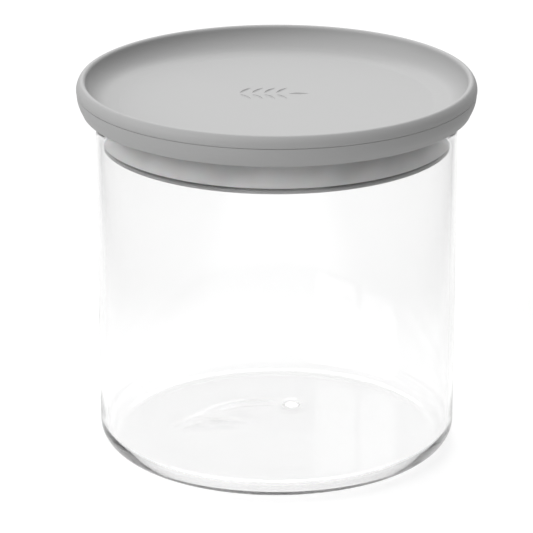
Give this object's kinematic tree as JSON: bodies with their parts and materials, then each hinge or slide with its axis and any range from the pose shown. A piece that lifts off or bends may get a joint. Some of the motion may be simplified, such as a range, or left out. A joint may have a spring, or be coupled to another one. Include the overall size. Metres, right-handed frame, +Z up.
{
  "type": "lidded glass canister",
  "caption": "Round clear glass storage canister with a matte grey plastic lid: a dished cover with a rolled rim, and a plug with a silicone seal that pushes into the mouth.",
  "frame": {"origin": "on the canister's axis, on the plane that the jar's foot stands on", "axes": "+Z up along the axis of symmetry, through the lid; -Y is the front, +X is to the right seen from the front"},
  "size_m": [0.1544, 0.1544, 0.1478],
  "materials": {
    "clear_glass": "clear colourless borosilicate glass, fire-polished",
    "cover_plastic": "light grey moulded polypropylene, fine matte texture",
    "base_plastic": "light grey moulded polypropylene, fine matte texture",
    "silicone": "light grey translucent silicone, satin"
  },
  "bodies": {
    "jar": {"glass_jar": "clear_glass"},
    "seal": {"seal_ring": "silicone"},
    "lid": {"lid_cover": "cover_plastic", "lid_base": "base_plastic"}
  },
  "joints": [
    {"name": "lid_lift", "type": "slide", "parent": "jar", "child": "seal", "axis": [0, 0, 1], "range_m": [0, 0.08]},
    {"name": "lid_turn", "type": "hinge", "parent": "seal", "child": "lid", "pos_m": [0, 0, 0.13], "axis": [0, 0, 1], "continuous": true}
  ]
}
